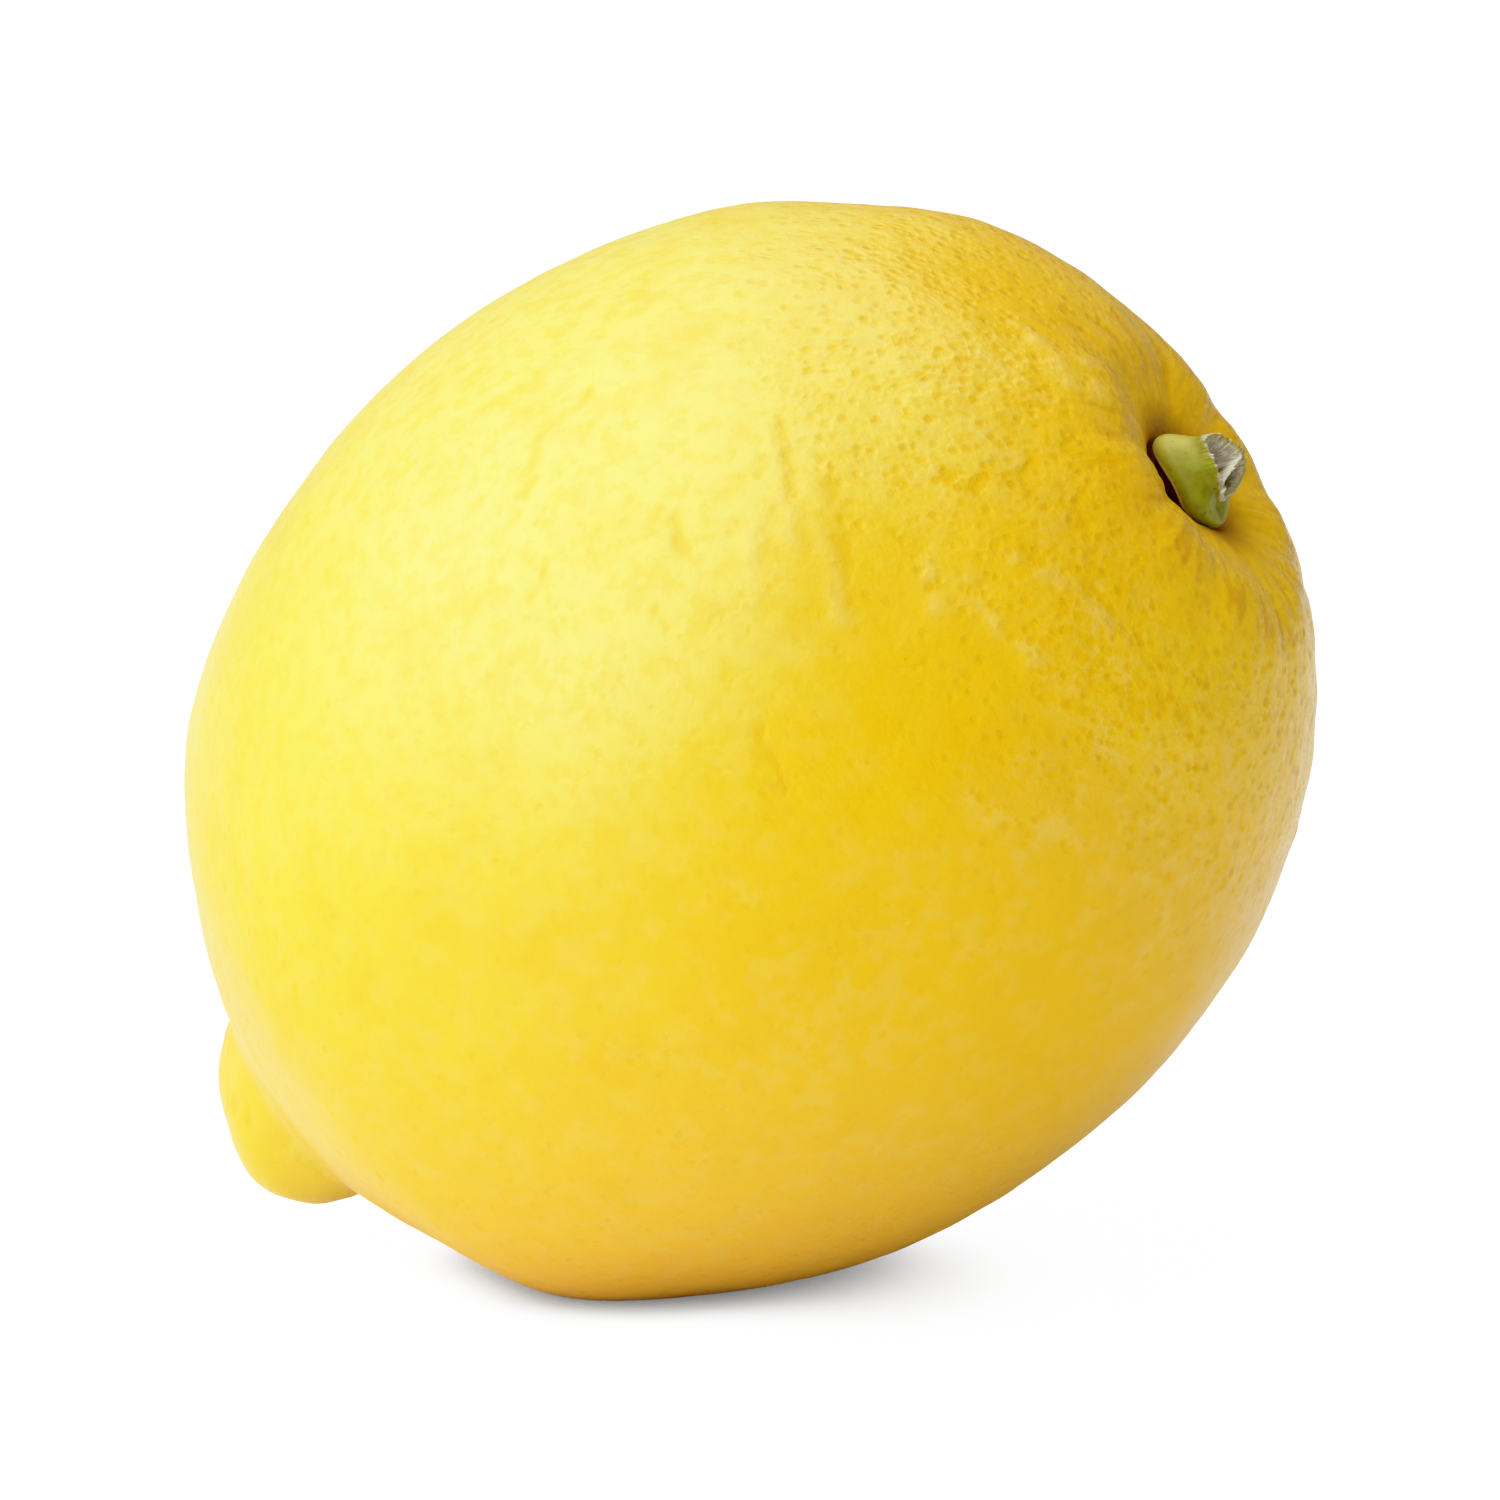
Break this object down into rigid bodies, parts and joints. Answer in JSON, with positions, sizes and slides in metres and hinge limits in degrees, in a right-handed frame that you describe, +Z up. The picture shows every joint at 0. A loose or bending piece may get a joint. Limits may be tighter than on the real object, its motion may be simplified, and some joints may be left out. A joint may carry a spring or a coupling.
{
  "type": "lemon",
  "caption": "Whole lemon lying on its side, with a nipple at its low end and the green calyx button of its cut stalk at its raised end.",
  "frame": {"origin": "on the resting surface, under the centre of the bounding box", "axes": "+Z up from the resting surface. The long axis of the fruit lies in the XZ plane and rises 36 degrees toward +X, so the stalk end is at +X and the nipple at -X. +Y is sideways across the fruit."},
  "size_m": [0.0676, 0.0608, 0.0643],
  "materials": {
    "rind": "waxy, finely pitted lemon rind with a soft sheen",
    "button": "green, slightly fleshy calyx with a dry torn rim"
  },
  "bodies": {
    "root": {"fruit": "rind", "calyx_button": "button"}
  },
  "joints": []
}
